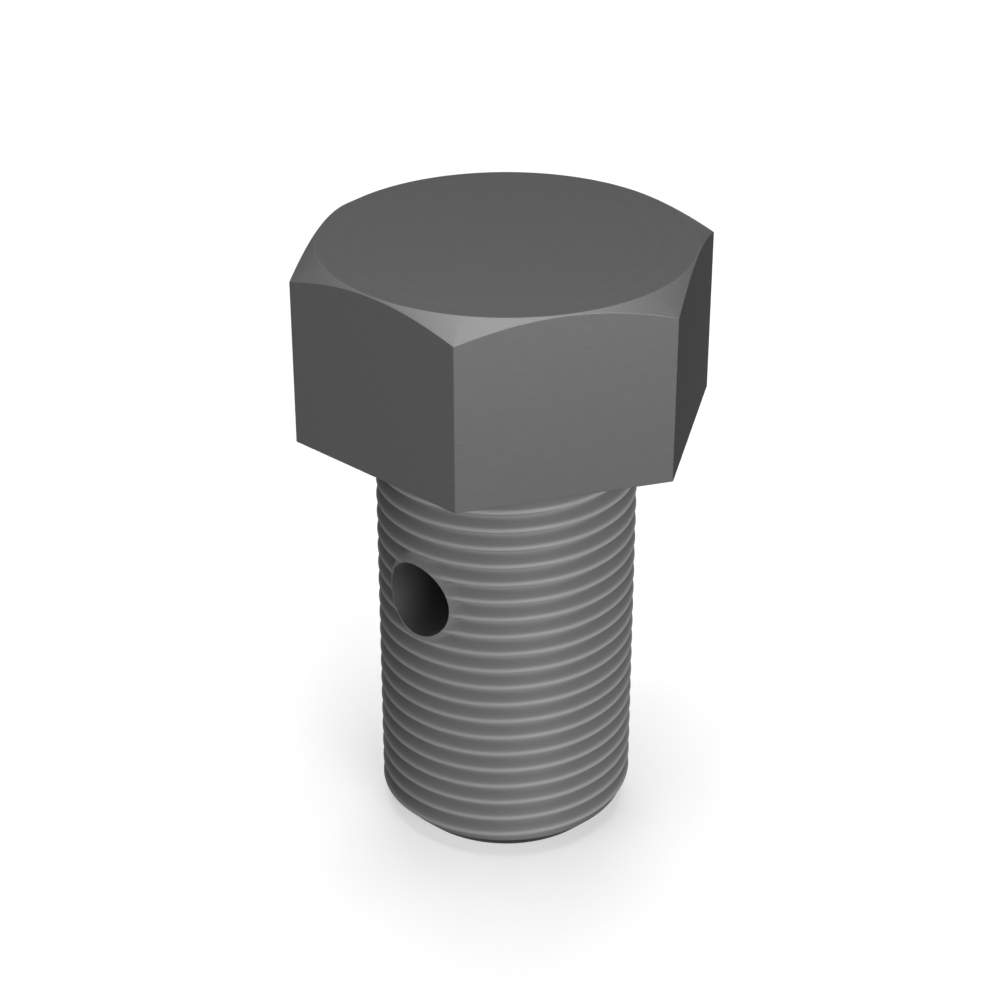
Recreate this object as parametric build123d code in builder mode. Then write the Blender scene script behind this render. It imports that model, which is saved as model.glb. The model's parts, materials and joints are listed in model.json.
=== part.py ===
from build123d import *
from math import ceil, radians, sqrt, tan
import os

# A banjo bolt: the hollow screw that clamps a ring fitting and feeds fluid into it.
# It is turned from hexagon bar, threaded up to a short neck under the head, bored from
# the tip and drilled across the shank. Sizes are in millimetres.
# The origin is the centre of the seat under the head, with the head above it and the
# shank below. The cross hole runs along Y, and two corners of the hexagon lie on X.

# Head
across_flats = 14.0
head_height = 7.0
crown_angle = 30.0
crown_inset = 0.05  # from the flats to the circle where the head's crown starts

# Shank
thread_diameter = 10.0
thread_pitch = 0.75
thread_angle = 60.0
thread_allowance = 0.02  # from the neck's surface in to the thread's crests
ridge_embed = 0.05  # from the core's surface in to the foot of the thread's ridge
neck_length = 0.8  # plain, under the head
run_out_length = 0.3  # the cone below the neck, where the thread runs out
shank_length = 17.0
tip_chamfer = 1.0

# Passages
feed_bore_diameter = 4.5
feed_mouth_chamfer = 0.3
feed_bore_overrun = 0.5  # past the cross hole's top, before the drill's point
drill_point_angle = 118.0
cross_hole_diameter = 3.0
cross_hole_drop = 6.0  # from the seat down to the hole's centre line

# The thread's section: a V ridge on a round core, as deep as the metric standard says
shank_radius = thread_diameter / 2
thread_depth = 17 / 24 * sqrt(3) / 2 * thread_pitch
core_radius = shank_radius - thread_depth
crest_radius = shank_radius - thread_allowance
foot_radius = core_radius - ridge_embed
foot_half_width = (crest_radius - foot_radius) * tan(radians(thread_angle / 2))

# Turns are counted down from the seat, and the top one is left out, so that the ridge
# ends inside the neck
turn_count = ceil(shank_length / thread_pitch)
stock_z = -turn_count * thread_pitch

with BuildPart() as thread_turn:
    with BuildLine() as lead:
        Helix(thread_pitch, thread_pitch, core_radius)
    with BuildSketch(Plane.XZ):
        with BuildLine():
            Polyline(
                (foot_radius, -foot_half_width),
                (crest_radius, 0),
                (foot_radius, foot_half_width),
                close=True,
            )
        make_face()
    sweep(path=lead.line, is_frenet=True)

with BuildPart() as banjo_bolt:
    # Threaded stock, longer than the shank, with its top turn ending inside the neck
    with BuildSketch(Plane.XY.offset(stock_z)):
        Circle(core_radius)
    extrude(amount=-stock_z)
    with Locations(*[(0, 0, stock_z + turn * thread_pitch) for turn in range(turn_count - 1)]):
        add(thread_turn.part)

    # Tip, faced off and chamfered across the core and the thread's first turns
    tip_z = -shank_length
    tip_radius = shank_radius - tip_chamfer
    clear = 2 * thread_pitch  # how far the cutter's outline stands outside the metal
    with BuildSketch(Plane.XZ):
        with BuildLine():
            Polyline(
                (0, tip_z),
                (tip_radius, tip_z),
                (shank_radius + clear, tip_z + tip_chamfer + clear),
                (shank_radius + clear, tip_z - clear),
                (0, tip_z - clear),
                close=True,
            )
        make_face()
    revolve(axis=Axis.Z, mode=Mode.SUBTRACT)

    # Neck and run-out cone, which ends inside the core
    run_out_z = -neck_length - run_out_length
    with BuildSketch(Plane.XZ):
        with BuildLine():
            Polyline(
                (0, 0),
                (shank_radius, 0),
                (shank_radius, -neck_length),
                (foot_radius, run_out_z),
                (0, run_out_z),
                close=True,
            )
        make_face()
    revolve(axis=Axis.Z)

    # Head
    with BuildSketch():
        RegularPolygon(across_flats / 2, 6, major_radius=False)
    extrude(amount=head_height)

    # Crown: the cone that rounds off the hexagon's upper corners
    crown_radius = across_flats / 2 - crown_inset
    crown_drop = crown_radius * tan(radians(crown_angle))
    with BuildSketch(Plane.XZ):
        with BuildLine():
            Polyline(
                (crown_radius, head_height),
                (2 * crown_radius, head_height),
                (2 * crown_radius, head_height - crown_drop),
                close=True,
            )
        make_face()
    revolve(axis=Axis.Z, mode=Mode.SUBTRACT)

    # Feed bore, blind, with a chamfered mouth and the cone that the drill leaves
    bore_radius = feed_bore_diameter / 2
    mouth_radius = bore_radius + feed_mouth_chamfer
    bore_end_z = -cross_hole_drop + cross_hole_diameter / 2 + feed_bore_overrun
    drill_point_z = bore_end_z + bore_radius / tan(radians(drill_point_angle / 2))
    with BuildSketch(Plane.XZ):
        with BuildLine():
            Polyline(
                (0, tip_z),
                (mouth_radius, tip_z),
                (bore_radius, tip_z + feed_mouth_chamfer),
                (bore_radius, bore_end_z),
                (0, drill_point_z),
                close=True,
            )
        make_face()
    revolve(axis=Axis.Z, mode=Mode.SUBTRACT)

    # Cross hole, through both walls of the shank into the feed bore
    with Locations(Plane(origin=(0, 0, -cross_hole_drop), z_dir=(0, -1, 0))):
        Hole(cross_hole_diameter / 2)

banjo_bolt.part.label = "banjo_bolt"

os.makedirs("parts", exist_ok=True)
export_step(banjo_bolt.part, "parts/banjo_bolt.step")
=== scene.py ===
import bmesh
import bpy
import json
from math import atan2, cos, hypot, pi, radians, sin, tan
from mathutils import Matrix, Vector


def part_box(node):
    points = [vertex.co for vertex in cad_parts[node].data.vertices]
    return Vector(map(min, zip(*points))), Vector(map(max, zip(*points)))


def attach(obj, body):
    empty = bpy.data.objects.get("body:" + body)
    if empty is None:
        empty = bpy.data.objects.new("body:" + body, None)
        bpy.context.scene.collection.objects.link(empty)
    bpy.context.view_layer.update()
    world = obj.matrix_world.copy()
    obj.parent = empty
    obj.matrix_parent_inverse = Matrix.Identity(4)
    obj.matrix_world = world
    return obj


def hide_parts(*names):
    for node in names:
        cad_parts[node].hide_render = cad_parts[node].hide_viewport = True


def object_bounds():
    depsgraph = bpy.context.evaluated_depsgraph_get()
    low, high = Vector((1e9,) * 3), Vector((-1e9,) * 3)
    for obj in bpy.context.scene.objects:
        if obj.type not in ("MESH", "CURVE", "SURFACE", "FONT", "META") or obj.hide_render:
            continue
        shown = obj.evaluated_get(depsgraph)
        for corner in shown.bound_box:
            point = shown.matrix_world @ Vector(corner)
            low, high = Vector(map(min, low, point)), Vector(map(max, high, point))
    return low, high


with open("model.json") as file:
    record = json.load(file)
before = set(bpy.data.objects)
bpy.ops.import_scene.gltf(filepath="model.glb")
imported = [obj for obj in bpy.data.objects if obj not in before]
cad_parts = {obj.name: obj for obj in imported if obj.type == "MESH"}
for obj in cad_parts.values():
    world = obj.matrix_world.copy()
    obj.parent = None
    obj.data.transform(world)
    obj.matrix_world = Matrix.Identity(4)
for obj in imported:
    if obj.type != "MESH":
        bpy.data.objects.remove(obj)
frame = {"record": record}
cadLow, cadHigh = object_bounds()
mounts = {mount["name"]: mount for mount in frame["record"]["mounts"]}
boltNode = "banjo_bolt"

# Meshes are made in millimetres and brought to metres once, just before they join the frame
mm = 0.001
boxLow, boxHigh = (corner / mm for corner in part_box(boltNode))
print("frame loaded, bolt box", [round(side, 3) for side in boxHigh - boxLow], "mm")

steelFinish = {
    "colour": 0.09,
    "roughness": 0.46,
    "edgeTint": 0.22,  # keeps a face seen along its length from flaring up
}
threadSize = {
    "pitch": 0.75,
    "crestRadius": 4.98,
    "coreRadius": 4.54,
    "columns": 256,
    "rowsPerPitch": 12,
    "rimLand": 0.08,  # round the cross hole the grooves are full to the crests over this width
    "rimFade": 0.35,  # and deepen over this one
    "shadeDepth": 0.4,  # how much of the grooves' slope the shading shows
    # Where the rows lie in a pitch: crowded on the crest and in the root's round
    "rowShares": [(0, 0), (1 / 6, 1 / 8), (5 / 12, 7 / 16), (7 / 12, 9 / 16), (5 / 6, 7 / 8), (1, 1)],
    # Height over the core, by share of the way from the crest to the root
    "form": [(0, 1), (0.125, 0.985), (0.75, 0.118), (0.875, 0.025), (1, 0)],
    "weld": 0.001,
}
shankSize = {
    "neckRadius": mounts["neck"]["dims"]["r_mm"],
    "neckLength": mounts["neck"]["dims"]["length_mm"],
    "neckRunOut": 0.3,
    "neckFoot": 0.1,  # how far the neck's core reaches down past its run-out
    "tipChamfer": 1.0,
    "edgeRound": 0.04,
    "edgeSteps": 3,
    "overlap": 0.5,  # how far pieces reach into each other before they are joined
}
boreSize = {
    "radius": mounts["feed_bore"]["dims"]["r_mm"],
    "endZ": -4.0,
    "pointAngle": 118.0,
    "mouthChamfer": 0.3,
    "columns": 96,
}
crossHoleSize = {
    "radius": mounts["cross_hole"]["dims"]["r_mm"],
    "z": mounts["cross_hole"]["pos_m"][2] / mm,
    "columns": 96,
}
toolReach = 1.0  # how far the tools that cut the passages stick out of the part


# Materials

def newMaterial(name):
    material = bpy.data.materials.new(name)
    material.use_nodes = True
    return material, material.node_tree.nodes, material.node_tree.links


def steelShader(nodes, roughness):
    shader = nodes["Principled BSDF"]
    shader.inputs["Metallic"].default_value = 1.0
    shader.inputs["Roughness"].default_value = roughness
    tint = steelFinish["edgeTint"]
    shader.inputs["Specular Tint"].default_value = (tint, tint, tint, 1)
    return shader


def calc(nodes, links, operation, *terms):
    node = nodes.new("ShaderNodeMath")
    node.operation = operation
    for slot, term in zip(node.inputs, terms):
        if isinstance(term, (int, float)):
            slot.default_value = term
        else:
            links.new(term, slot)
    return node.outputs[0]


def placeOnPart(nodes):
    return nodes.new("ShaderNodeTexCoord").outputs["Object"]


def lengthOf(nodes, links, vector):
    length = nodes.new("ShaderNodeVectorMath")
    length.operation = "LENGTH"
    links.new(vector, length.inputs[0])
    return length.outputs["Value"]


def noiseOnPart(nodes, links, scale):
    # scale: how many times a millimetre the noise repeats along X, Y and Z
    mapping = nodes.new("ShaderNodeMapping")
    mapping.inputs["Scale"].default_value = [each / mm for each in scale]
    noise = nodes.new("ShaderNodeTexNoise")
    noise.inputs["Scale"].default_value = 1.0
    noise.inputs["Detail"].default_value = 3.0
    links.new(placeOnPart(nodes), mapping.inputs["Vector"])
    links.new(mapping.outputs["Vector"], noise.inputs["Vector"])
    return noise.outputs["Fac"]


def spread(nodes, links, source, low, high, fromLow=0.0, fromHigh=1.0, smooth=False):
    ranged = nodes.new("ShaderNodeMapRange")
    ranged.interpolation_type = "SMOOTHSTEP" if smooth else "LINEAR"
    ranged.inputs["From Min"].default_value = fromLow
    ranged.inputs["From Max"].default_value = fromHigh
    ranged.inputs["To Min"].default_value = low
    ranged.inputs["To Max"].default_value = high
    links.new(source, ranged.inputs["Value"])
    return ranged.outputs["Result"]


def mottle(nodes, links, noise, base, share):
    # A tone that strays from its base by this share either way
    usualLow, usualHigh = 0.3, 0.7  # noise seldom goes past these
    return spread(nodes, links, noise, base * (1 - share), base * (1 + share), usualLow, usualHigh)


def lineCurve(nodes, points):
    # A float curve of straight lines between the points
    node = nodes.new("ShaderNodeFloatCurve")
    curve = node.mapping.curves[0]
    curve.points[0].location = points[0]
    curve.points[1].location = points[-1]
    for x, y in points[1:-1]:
        curve.points.new(x, y)
    for point in curve.points:
        point.handle_type = "VECTOR"
    node.mapping.update()
    return node


def axisDistance(nodes, links):
    # How far a point of the surface lies from the bolt's axis, in millimetres
    flatten = nodes.new("ShaderNodeVectorMath")
    flatten.operation = "MULTIPLY"
    flatten.inputs[1].default_value = (1 / mm, 1 / mm, 0)
    links.new(placeOnPart(nodes), flatten.inputs[0])
    return lengthOf(nodes, links, flatten.outputs["Vector"])


def holeDistance(nodes, links):
    # How far it lies from the cross hole's axis, which runs along Y, in millimetres
    flatten = nodes.new("ShaderNodeVectorMath")
    flatten.operation = "MULTIPLY_ADD"
    flatten.inputs[1].default_value = (1 / mm, 0, 1 / mm)
    flatten.inputs[2].default_value = (0, 0, -crossHoleSize["z"])
    links.new(placeOnPart(nodes), flatten.inputs[0])
    return lengthOf(nodes, links, flatten.outputs["Vector"])


def heightOnPart(nodes, links):
    # Height above the seat, in millimetres
    split = nodes.new("ShaderNodeSeparateXYZ")
    links.new(placeOnPart(nodes), split.inputs[0])
    return calc(nodes, links, "DIVIDE", split.outputs["Z"], mm)


def turnsRound(nodes, links):
    # Turns about the bolt's axis, counted from +X
    split = nodes.new("ShaderNodeSeparateXYZ")
    links.new(placeOnPart(nodes), split.inputs[0])
    angle = calc(nodes, links, "ARCTAN2", split.outputs["Y"], split.outputs["X"])
    return calc(nodes, links, "DIVIDE", angle, 2 * pi)


def makeFlatsSteel():
    # Drawn and ground flats: fine short grain across the bolt
    settings = {
        "tone": 0.92,
        "roughness": 0.42,
        "grain": (3.0, 3.0, 28.0),
        "colourSpread": 0.06,
        "bumpHeight": 0.0003,
    }
    material, nodes, links = newMaterial("ground_flats")
    shader = steelShader(nodes, settings["roughness"])
    grain = noiseOnPart(nodes, links, settings["grain"])
    base = steelFinish["colour"] * settings["tone"]
    tone = mottle(nodes, links, grain, base, settings["colourSpread"])
    links.new(tone, shader.inputs["Base Color"])
    bump = nodes.new("ShaderNodeBump")
    bump.inputs["Strength"].default_value = 1.0
    bump.inputs["Distance"].default_value = settings["bumpHeight"] * mm
    links.new(grain, bump.inputs["Height"])
    links.new(bump.outputs["Normal"], shader.inputs["Normal"])
    return material


def makeTurnedSteel():
    # Faced and turned surfaces: top, seat and tip
    settings = {"ringsPerMm": 2.5, "ringDetail": 1.0, "colourSpread": 0.015}
    material, nodes, links = newMaterial("turned_faces")
    shader = steelShader(nodes, steelFinish["roughness"])
    rings = nodes.new("ShaderNodeTexNoise")
    rings.noise_dimensions = "1D"
    rings.inputs["Scale"].default_value = settings["ringsPerMm"]
    rings.inputs["Detail"].default_value = settings["ringDetail"]
    links.new(axisDistance(nodes, links), rings.inputs["W"])
    tone = mottle(nodes, links, rings.outputs["Fac"], steelFinish["colour"], settings["colourSpread"])
    links.new(tone, shader.inputs["Base Color"])
    return material


def makeCrownSteel():
    # The crown is painted brighter than the other turned faces, a painted highlight for the light it
    # catches from above
    settings = {"tone": 1.4, "roughness": 0.55}
    material, nodes, links = newMaterial("turned_crown")
    shader = steelShader(nodes, settings["roughness"])
    # painted highlight: the crown's grey is raised by its tone
    grey = steelFinish["colour"] * settings["tone"]
    shader.inputs["Base Color"].default_value = (grey, grey, grey, 1)
    return material


def makeThreadSteel():
    # Dull steel, with crests painted bright as a painted highlight, and roots painted a little
    # lighter than the flanks as painted light against the shade in the grooves.
    # Tones go by share of a pitch, upwards from a crest
    settings = {
        "metallic": 0.12,
        "roughness": 0.55,
        "specular": 0.0,
        "tones": [
            (0, 0.205), (0.08, 0.205), (0.12, 0.142),  # crest, a painted highlight
            (0.18, 0.12), (0.28, 0.11), (0.37, 0.106), (0.45, 0.13),  # flank above it
            (0.51, 0.17), (0.61, 0.17),  # root, painted lighter against the shade in the groove
            (0.68, 0.12), (0.86, 0.12),  # flank below the next crest
            (0.92, 0.18), (1, 0.205),
        ],
        "rimTones": [(0, 0.19), (0.1, 0.138), (0.9, 0.138), (1, 0.19)],  # round the cross hole, where the crests are painted bright too, a painted highlight
        # the neck is painted lighter than the flanks, painted light against the shade under the head
        "neckTone": 0.165,
    }
    material, nodes, links = newMaterial("rolled_thread")

    def sums(operation, *terms):
        return calc(nodes, links, operation, *terms)

    def blend(tone, other, share):
        return sums("ADD", tone, sums("MULTIPLY", share, sums("SUBTRACT", other, tone)))

    shader = steelShader(nodes, settings["roughness"])
    shader.inputs["Metallic"].default_value = settings["metallic"]
    shader.inputs["Specular IOR Level"].default_value = settings["specular"]

    # A crest passes wherever height over pitch, less turns round the axis, is a whole number
    level = heightOnPart(nodes, links)
    turns = sums("SUBTRACT", sums("DIVIDE", level, threadSize["pitch"]), turnsRound(nodes, links))
    share = sums("FRACT", turns)
    onThread = lineCurve(nodes, settings["tones"])
    onRim = lineCurve(nodes, settings["rimTones"])
    for curve in (onThread, onRim):
        links.new(share, curve.inputs["Value"])

    rimStart = crossHoleSize["radius"] + threadSize["rimLand"]
    nearRim = spread(nodes, links, holeDistance(nodes, links), 1, 0,
                     rimStart, rimStart + threadSize["rimFade"], smooth=True)
    onNeck = spread(nodes, links, level, 0, 1,
                    -shankSize["neckLength"] - shankSize["neckRunOut"], -shankSize["neckLength"])
    # Painted light: a painted highlight on the crests and painted lighter roots, by share of a pitch
    tone = blend(onThread.outputs[0], onRim.outputs[0], nearRim)
    links.new(blend(tone, settings["neckTone"], onNeck), shader.inputs["Base Color"])
    return material


def makeDrilledSteel():
    # Walls of the passages, left as the drill leaves them
    settings = {"tone": 1.0, "roughness": 0.7, "grain": (3.0, 3.0, 9.0), "colourSpread": 0.05}
    material, nodes, links = newMaterial("drilled_walls")
    shader = steelShader(nodes, settings["roughness"])
    grain = noiseOnPart(nodes, links, settings["grain"])
    base = steelFinish["colour"] * settings["tone"]
    tone = mottle(nodes, links, grain, base, settings["colourSpread"])
    links.new(tone, shader.inputs["Base Color"])
    return material


flats, turned, crown, thread, drilled = 0, 1, 2, 3, 4  # places in the list of materials below
steels = [
    makeFlatsSteel(),
    makeTurnedSteel(),
    makeCrownSteel(),
    makeThreadSteel(),
    makeDrilledSteel(),
]
print("steel finishes made")


# Mesh helpers

def newObject(name, mesh):
    thing = bpy.data.objects.new(name, mesh)
    bpy.context.scene.collection.objects.link(thing)
    if not mesh.materials:
        for steel in steels:
            mesh.materials.append(steel)
    return thing


def skinRings(name, rings, finishes):
    # Joins rings of points, listed from the bottom up, into one closed skin.
    # A ring of one point is a pole, and the first and last rings are closed flat.
    # finishes holds one material place per band, with the two caps first and last.
    skin = bmesh.new()
    levels = [[skin.verts.new(point) for point in ring] for ring in rings]

    def addFace(corners, finish):
        face = skin.faces.new(corners)
        face.material_index = finish

    for lower, upper, finish in zip(levels, levels[1:], finishes[1:]):
        count = max(len(lower), len(upper))
        for i in range(count):
            j = (i + 1) % count
            if len(upper) == 1:
                addFace((lower[i], lower[j], upper[0]), finish)
            elif len(lower) == 1:
                addFace((lower[0], upper[j], upper[i]), finish)
            else:
                addFace((lower[i], lower[j], upper[j], upper[i]), finish)
    if len(levels[0]) > 1:
        addFace(levels[0][::-1], finishes[0])
    if len(levels[-1]) > 1:
        addFace(levels[-1], finishes[-1])
    bmesh.ops.recalc_face_normals(skin, faces=skin.faces)
    mesh = bpy.data.meshes.new(name)
    skin.to_mesh(mesh)
    skin.free()
    return newObject(name, mesh)


def turn(name, profile, finish, columns=128):
    # Turns a profile of (radius, z) points, listed from the bottom up, about the bolt's axis
    rings = []
    for radius, z in profile:
        if radius == 0:
            rings.append([(0, 0, z)])
        else:
            angles = [2 * pi * i / columns for i in range(columns)]
            rings.append([(radius * cos(a), radius * sin(a), z) for a in angles])
    return skinRings(name, rings, [finish] * (len(rings) + 1))


def easeCorner(before, corner, after, steps):
    # Points of a smooth bend from one side of a corner to the other
    points = []
    for i in range(steps + 1):
        t = i / steps
        weights = ((1 - t) ** 2, 2 * t * (1 - t), t**2)
        points.append(tuple(
            sum(w * p[axis] for w, p in zip(weights, (before, corner, after))) for axis in (0, 1)
        ))
    return points


# Head

headSize = {
    "acrossFlats": boxHigh.y - boxLow.y,
    "height": boxHigh.z,
    "crownAngle": 30.0,
    "crownInset": 0.05,
    "edgeRound": 0.02,
    "cornerRound": 0.06,
    "cornerSteps": 4,
    "flatSteps": 24,
    # How finely the three edges up a column are eased: seat, flat to crown, crown to top
    "seatSteps": 5,
    "crownSteps": 4,
    "topSteps": 3,
    "mostEase": 0.45,  # the longest ease, as a share of the crown's slope
}


def hexagonOutline(acrossFlats, cornerRound, cornerSteps, flatSteps):
    # Two corners lie on X. Each corner is an arc, and each flat is divided evenly
    arcCentre = (acrossFlats / 2 - cornerRound) / cos(radians(30))

    def onArc(k, swing):
        middle = radians(60 * k)
        a = middle + radians(swing)
        centre = Vector((arcCentre * cos(middle), arcCentre * sin(middle)))
        return centre + cornerRound * Vector((cos(a), sin(a)))

    points = []
    for k in range(6):
        points += [onArc(k, -30 + 60 * i / cornerSteps) for i in range(cornerSteps + 1)]
        flatStart, flatEnd = onArc(k, 30), onArc(k + 1, -30)
        points += [flatStart.lerp(flatEnd, i / flatSteps) for i in range(1, flatSteps)]
    return points


def makeHead():
    s = headSize
    crownRadius = s["acrossFlats"] / 2 - s["crownInset"]
    slope = radians(s["crownAngle"])
    outline = hexagonOutline(s["acrossFlats"], s["cornerRound"], s["cornerSteps"], s["flatSteps"])
    columns = []
    for point in outline:
        radius = hypot(*point)
        across = (cos(atan2(point.y, point.x)), sin(atan2(point.y, point.x)))
        wallTop = s["height"] - (radius - crownRadius) * tan(slope)
        coneLength = (radius - crownRadius) / cos(slope)
        ease = min(s["edgeRound"], s["mostEase"] * coneLength)
        foot = s["edgeRound"]
        downCone = Vector((cos(slope), -sin(slope)))
        edge = Vector((radius, wallTop))
        rim = Vector((crownRadius, s["height"]))
        profile = easeCorner((radius - foot, 0), (radius, 0), (radius, foot), s["seatSteps"])
        profile += easeCorner(edge - Vector((0, ease)), edge, edge - ease * downCone, s["crownSteps"])
        profile += easeCorner(rim + ease * downCone, rim, rim - Vector((ease, 0)), s["topSteps"])
        columns.append([(r * across[0], r * across[1], z) for r, z in profile])
    rings = list(zip(*columns))

    # Upwards: seat and its edge, flat and half the edge above it, crown, then the top
    halfway = s["crownSteps"] // 2
    finishes = [turned] * (s["seatSteps"] + 1) + [flats] * (1 + halfway)
    finishes += [crown] * (halfway + s["topSteps"]) + [turned] * 2
    return skinRings("head", rings, finishes)


# Threaded rod, made by geometry nodes: one helical ribbon whose turns are welded together

def makeThreadTree():
    tree = bpy.data.node_groups.new("helical_thread", "GeometryNodeTree")
    nodes, links = tree.nodes, tree.links
    sockets = tree.interface
    for name, kind in [
        ("Turns", "NodeSocketInt"),
        ("Columns per Turn", "NodeSocketInt"),
        ("Rows per Pitch", "NodeSocketInt"),
        ("Pitch", "NodeSocketFloat"),
        ("Crest Radius", "NodeSocketFloat"),
        ("Core Radius", "NodeSocketFloat"),
        ("Ribbon Start", "NodeSocketFloat"),
        ("Hole Z", "NodeSocketFloat"),
        ("Rim Start", "NodeSocketFloat"),
        ("Rim End", "NodeSocketFloat"),
        ("Lowest Z", "NodeSocketFloat"),
        ("Highest Z", "NodeSocketFloat"),
        ("Material", "NodeSocketMaterial"),
    ]:
        sockets.new_socket(name, in_out="INPUT", socket_type=kind)
    sockets.new_socket("Geometry", in_out="OUTPUT", socket_type="NodeSocketGeometry")
    given = nodes.new("NodeGroupInput").outputs

    def sums(operation, *terms):
        return calc(nodes, links, operation, *terms)

    grid = nodes.new("GeometryNodeMeshGrid")
    links.new(given["Turns"], grid.inputs["Size X"])
    grid.inputs["Size Y"].default_value = 1.0
    columns = sums("MULTIPLY", given["Turns"], given["Columns per Turn"])
    links.new(sums("ADD", columns, 1), grid.inputs["Vertices X"])
    links.new(sums("ADD", given["Rows per Pitch"], 1), grid.inputs["Vertices Y"])

    # The grid is centred, so half its size is added: turns along the helix, and share of a pitch
    place = nodes.new("GeometryNodeInputPosition")
    split = nodes.new("ShaderNodeSeparateXYZ")
    links.new(place.outputs[0], split.inputs[0])
    turnsDone = sums("ADD", split.outputs["X"], sums("MULTIPLY", given["Turns"], 0.5))
    spacing = lineCurve(nodes, threadSize["rowShares"])
    links.new(sums("ADD", split.outputs["Y"], 0.5), spacing.inputs["Value"])
    rowShare = spacing.outputs[0]
    climbed = sums("MULTIPLY", sums("ADD", turnsDone, rowShare), given["Pitch"])
    rawZ = sums("ADD", climbed, given["Ribbon Start"])
    z = sums("MAXIMUM", sums("MINIMUM", rawZ, given["Highest Z"]), given["Lowest Z"])

    # Distance from the crest, from 0 on it to 1 in the root, then the thread's form across it
    fromStart = sums("DIVIDE", sums("SUBTRACT", z, given["Ribbon Start"]), given["Pitch"])
    across = sums("FRACT", sums("SUBTRACT", fromStart, turnsDone))
    fromCrest = sums("MULTIPLY", sums("ABSOLUTE", sums("SUBTRACT", across, 0.5)), 2)
    form = lineCurve(nodes, threadSize["form"])
    links.new(fromCrest, form.inputs["Value"])
    depth = sums("SUBTRACT", given["Crest Radius"], given["Core Radius"])
    angle = sums("MULTIPLY", turnsDone, 2 * pi)

    # Near the cross hole, which runs along Y, the form rises to the crests
    sideways = sums("MULTIPLY", given["Crest Radius"], sums("COSINE", angle))
    upwards = sums("SUBTRACT", z, given["Hole Z"])
    squares = sums("ADD", sums("POWER", sideways, 2), sums("POWER", upwards, 2))
    rise = nodes.new("ShaderNodeMapRange")
    rise.interpolation_type = "SMOOTHSTEP"
    links.new(sums("SQRT", squares), rise.inputs["Value"])
    links.new(given["Rim Start"], rise.inputs["From Min"])
    links.new(given["Rim End"], rise.inputs["From Max"])
    links.new(form.outputs[0], rise.inputs["To Max"])
    rise.inputs["To Min"].default_value = 1.0
    radius = sums("ADD", given["Core Radius"], sums("MULTIPLY", rise.outputs["Result"], depth))

    target = nodes.new("ShaderNodeCombineXYZ")
    links.new(sums("MULTIPLY", radius, sums("COSINE", angle)), target.inputs["X"])
    links.new(sums("MULTIPLY", radius, sums("SINE", angle)), target.inputs["Y"])
    links.new(z, target.inputs["Z"])
    move = nodes.new("GeometryNodeSetPosition")
    links.new(grid.outputs["Mesh"], move.inputs["Geometry"])
    links.new(target.outputs[0], move.inputs["Position"])
    weld = nodes.new("GeometryNodeMergeByDistance")
    weld.inputs["Distance"].default_value = threadSize["weld"]
    links.new(move.outputs[0], weld.inputs["Geometry"])
    realize = nodes.new("GeometryNodeRealizeInstances")
    links.new(weld.outputs[0], realize.inputs[0])
    paint = nodes.new("GeometryNodeSetMaterial")
    links.new(realize.outputs[0], paint.inputs["Geometry"])
    links.new(given["Material"], paint.inputs["Material"])
    links.new(paint.outputs[0], nodes.new("NodeGroupOutput").inputs["Geometry"])
    return tree


def makeThreadedRod():
    s = threadSize
    pitch = s["pitch"]
    # A crest passes +X at the height of the seat, so the ribbon starts half a pitch off a whole turn
    # and it has turns to spare at both ends, which are pressed flat
    turnsBelow = int(-boxLow.z / pitch) + 3
    ribbonStart = -(turnsBelow + 0.5) * pitch
    rod = bpy.data.objects.new("threaded_rod", bpy.data.meshes.new("threaded_rod"))
    bpy.context.scene.collection.objects.link(rod)
    builder = rod.modifiers.new("thread", "NODES")
    builder.node_group = makeThreadTree()
    values = {
        "Turns": turnsBelow + 2,
        "Columns per Turn": s["columns"],
        "Rows per Pitch": s["rowsPerPitch"],
        "Pitch": pitch,
        "Crest Radius": s["crestRadius"],
        "Core Radius": s["coreRadius"],
        "Ribbon Start": ribbonStart,
        "Hole Z": crossHoleSize["z"],
        "Rim Start": crossHoleSize["radius"] + s["rimLand"],
        "Rim End": crossHoleSize["radius"] + s["rimLand"] + s["rimFade"],
        "Lowest Z": boxLow.z - pitch / 2,
        "Highest Z": -pitch / 2,
        "Material": steels[thread],
    }
    for item in builder.node_group.interface.items_tree:
        if item.name in values:
            builder[item.identifier] = values[item.name]
    mesh = bakeMesh(rod)
    bpy.data.objects.remove(rod)

    # The two ends are open rings, closed flat here
    skin = bmesh.new()
    skin.from_mesh(mesh)
    bmesh.ops.holes_fill(skin, edges=[edge for edge in skin.edges if edge.is_boundary])
    bmesh.ops.recalc_face_normals(skin, faces=skin.faces)
    skin.to_mesh(mesh)
    skin.free()
    mesh.materials.clear()
    rod = newObject("threaded_rod", mesh)
    for face in mesh.polygons:
        face.material_index = thread
    return rod


def bakeMesh(thing):
    graph = bpy.context.evaluated_depsgraph_get()
    return bpy.data.meshes.new_from_object(thing.evaluated_get(graph))


# Tools that cut the shank to length, and the passages

def makeShankEnvelope():
    s = shankSize
    tip = boxLow.z
    outer = s["neckRadius"] + s["overlap"]
    tipRadius = s["neckRadius"] - s["tipChamfer"]
    ease = s["edgeRound"]
    diagonal = ease * cos(radians(45))
    onChamfer = (tipRadius + diagonal, tip + diagonal)
    profile = easeCorner((tipRadius - ease, tip), (tipRadius, tip), onChamfer, s["edgeSteps"])
    profile += [(outer, tip + outer - tipRadius), (outer, s["overlap"])]
    return turn("shank_envelope", profile, turned)


def makeNeck():
    s = shankSize
    inside = threadSize["coreRadius"] - s["overlap"]
    lowZ = -s["neckLength"] - s["neckRunOut"]
    profile = [
        (inside, lowZ - s["neckFoot"]),
        (threadSize["coreRadius"], lowZ),
        (s["neckRadius"], -s["neckLength"]),
        (s["neckRadius"], s["overlap"]),
    ]
    return turn("neck", profile, thread)


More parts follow.
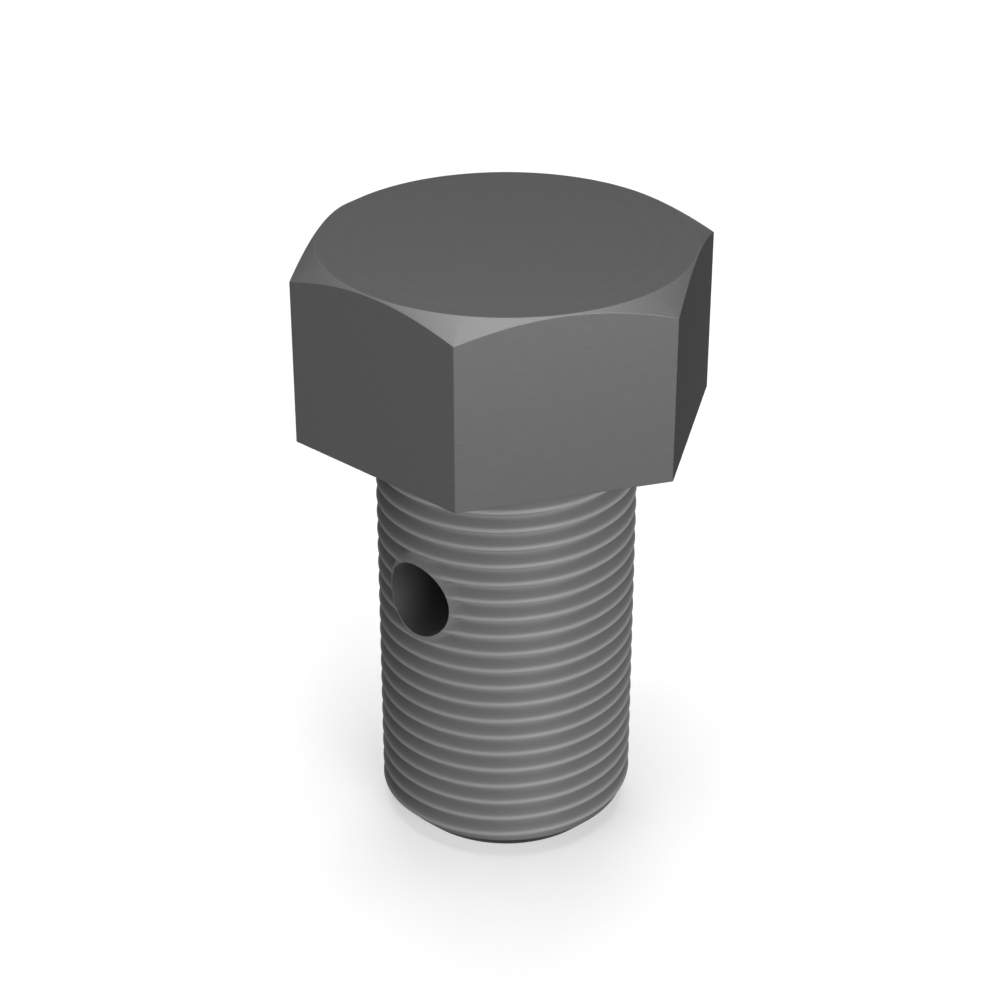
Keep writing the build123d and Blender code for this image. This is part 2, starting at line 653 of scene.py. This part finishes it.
def makeFeedBore():
    s = boreSize
    tip = boxLow.z
    pointHeight = s["radius"] / tan(radians(s["pointAngle"] / 2))
    mouth = s["radius"] + s["mouthChamfer"]
    profile = [
        (mouth + toolReach, tip - toolReach),
        (s["radius"], tip + s["mouthChamfer"]),
        (s["radius"], s["endZ"]),
        (0, s["endZ"] + pointHeight),
    ]
    return turn("feed_bore", profile, drilled, s["columns"])


def makeCrossHole():
    s = crossHoleSize
    reach = shankSize["neckRadius"] + toolReach
    drill = turn("cross_hole", [(s["radius"], -reach), (s["radius"], reach)], drilled, s["columns"])
    drill.data.transform(Matrix.Rotation(radians(90), 4, "X"))
    drill.data.transform(Matrix.Translation((0, 0, s["z"])))
    return drill


def joinAndCut(body, steps):
    for operation, tool in steps:
        cut = body.modifiers.new(tool.name, "BOOLEAN")
        cut.operation = operation
        cut.solver = "EXACT"
        cut.object = tool
    mesh = bakeMesh(body)
    for _, tool in steps:
        bpy.data.objects.remove(tool)
    bpy.data.objects.remove(body)
    return mesh


rod = makeThreadedRod()
print("threaded rod made,", len(rod.data.polygons), "faces")
boltMesh = joinAndCut(rod, [
    ("INTERSECT", makeShankEnvelope()),
    ("UNION", makeNeck()),
    ("UNION", makeHead()),
    ("DIFFERENCE", makeFeedBore()),
    ("DIFFERENCE", makeCrossHole()),
])
print("bolt joined and drilled,", len(boltMesh.polygons), "faces")


def finishMesh(mesh):
    # Welds what the cuts left loose, drops points that only divide an edge, keeps true corners crisp
    settings = {"weld": 0.0005, "crispAngle": 32.0}
    skin = bmesh.new()
    skin.from_mesh(mesh)
    bmesh.ops.remove_doubles(skin, verts=skin.verts, dist=settings["weld"])
    bmesh.ops.dissolve_degenerate(skin, edges=skin.edges, dist=settings["weld"])
    midway = [vert for vert in skin.verts if len(vert.link_edges) == 2]
    bmesh.ops.dissolve_verts(skin, verts=midway)
    openEdges = [edge for edge in skin.edges if not edge.is_manifold]
    print("open edges", len(openEdges), "volume", round(skin.calc_volume(), 1), "mm3")
    for face in skin.faces:
        face.smooth = True
    for edge in skin.edges:
        kinds = {face.material_index for face in edge.link_faces}
        crisp = edge.calc_face_angle(0) > radians(settings["crispAngle"])
        edge.smooth = not (crisp and kinds != {thread})
    skin.to_mesh(mesh)
    skin.free()
    mesh.transform(Matrix.Scale(mm, 4))
    return mesh


def calmThread(mesh):
    # The photo shows the grooves soft and shallow, so their shading leans towards the cylinder's,
    # and it is the cylinder's own where they end round the cross hole
    rimStart = crossHoleSize["radius"] + threadSize["rimLand"]
    normals = [Vector(corner.vector) for corner in mesh.corner_normals]
    for face in mesh.polygons:
        if face.material_index != thread:
            continue
        for i in face.loop_indices:
            x, y, z = mesh.vertices[mesh.loops[i].vertex_index].co / mm
            deepened = (hypot(x, z - crossHoleSize["z"]) - rimStart) / threadSize["rimFade"]
            lean = threadSize["shadeDepth"] * min(max(deepened, 0), 1)
            outward = Vector((x, y, 0)).normalized()
            level = outward * normals[i].dot(outward) + Vector((0, 0, normals[i].z * lean))
            normals[i] = level.normalized()
    mesh.normals_split_custom_set(normals)


bolt = newObject("bolt", finishMesh(boltMesh))
shading = bolt.modifiers.new("shading", "WEIGHTED_NORMAL")
shading.keep_sharp = True
shaded = bakeMesh(bolt)
calmThread(shaded)
bpy.data.objects.remove(bolt)
bolt = newObject("bolt", shaded)
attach(bolt, "root")
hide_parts(boltNode)
print("bolt stands in the frame")


# Studio

studio = {
    "floorZ": cadLow.z - 0.01 * mm,  # a hair below the tip, so that the two don't share a plane
    "floorSize": 3.0,
    "floorColour": 0.6,
    "floorLift": 0.44,  # what camera and mirror rays see on top of the light that falls there
    "liftWhite": (0.10, 0.28),  # and it grows to full white between these distances
    "skyFill": 0.09,
    "lampDistance": 0.30,
    "lampSize": 0.18,
    # Azimuth as the views measure it, where 0 stands at -Y and 90 at +X, then elevation and watts
    "lamps": {
        "overhead": (43, 90, 0.63),
        "right": (70, 5, 1.5),
        "left": (-15, 25, 0.17),
        "back": (223, 45, 0.245),
    },
}


def cameraOrMirrorRay(nodes, links):
    rays = nodes.new("ShaderNodeLightPath")
    either = rays.outputs["Is Camera Ray"]
    for name in ("Is Glossy Ray", "Is Transmission Ray"):
        highest = nodes.new("ShaderNodeMath")
        highest.operation = "MAXIMUM"
        links.new(either, highest.inputs[0])
        links.new(rays.outputs[name], highest.inputs[1])
        either = highest.outputs[0]
    return either


def makeFloor():
    half = studio["floorSize"] / 2
    mesh = bpy.data.meshes.new("floor")
    corners = [(-half, -half), (half, -half), (half, half), (-half, half)]
    mesh.from_pydata([(x, y, studio["floorZ"]) for x, y in corners], [], [(0, 1, 2, 3)])
    floor = bpy.data.objects.new("floor", mesh)
    bpy.context.scene.collection.objects.link(floor)
    material, nodes, links = newMaterial("pale_floor")
    shader = nodes["Principled BSDF"]
    pale = studio["floorColour"]
    shader.inputs["Base Color"].default_value = (pale, pale, pale, 1)
    shader.inputs["Roughness"].default_value = 1.0
    shader.inputs["Specular IOR Level"].default_value = 0.0
    shader.inputs["Emission Color"].default_value = (1, 1, 1, 1)
    away = lengthOf(nodes, links, placeOnPart(nodes))
    near, far = studio["liftWhite"]
    lift = spread(nodes, links, away, studio["floorLift"], 1, near, far, smooth=True)
    seen = calc(nodes, links, "MULTIPLY", lift, cameraOrMirrorRay(nodes, links))
    links.new(seen, shader.inputs["Emission Strength"])
    material.cycles.emission_sampling = "NONE"  # the lift is only seen, and lights nothing
    mesh.materials.append(material)


def makeWorld():
    world = bpy.data.worlds.new("studio")
    world.use_nodes = True
    nodes, links = world.node_tree.nodes, world.node_tree.links
    strength = spread(nodes, links, cameraOrMirrorRay(nodes, links), studio["skyFill"], 1)
    links.new(strength, nodes["Background"].inputs["Strength"])
    nodes["Background"].inputs["Color"].default_value = (1, 1, 1, 1)
    bpy.context.scene.world = world


def addSoftbox(name, azimuth, elevation, power):
    a, e = radians(azimuth), radians(elevation)
    aim = Vector((0, 0, (cadLow.z + cadHigh.z) / 2))
    towards = Vector((sin(a) * cos(e), -cos(a) * cos(e), sin(e)))
    lamp = bpy.data.lights.new(name, "AREA")
    lamp.size = studio["lampSize"]
    lamp.energy = power
    box = bpy.data.objects.new(name, lamp)
    bpy.context.scene.collection.objects.link(box)
    box.location = aim + towards * studio["lampDistance"]
    box.rotation_euler = towards.to_track_quat("Z", "Y").to_euler()


def makeCamera():
    # Solved from the outline of the head and shank
    view = {
        "place": (54.326, -58.697, 39.470),
        "pitchDown": 28.367,
        "azimuth": 42.96,
        "lens": 85.289,
        "clipStart": 1.0,
    }
    camera = bpy.data.objects.new("camera", bpy.data.cameras.new("camera"))
    bpy.context.scene.collection.objects.link(camera)
    camera.location = [each * mm for each in view["place"]]
    camera.rotation_euler = (radians(90 - view["pitchDown"]), 0, radians(view["azimuth"]))
    camera.data.lens = view["lens"]
    camera.data.clip_start = view["clipStart"] * mm
    bpy.context.scene.camera = camera


makeFloor()
makeWorld()
makeCamera()
for name, (azimuth, elevation, power) in studio["lamps"].items():
    addSoftbox(name, azimuth, elevation, power)
bpy.context.scene.view_settings.view_transform = "Standard"
print("studio set")
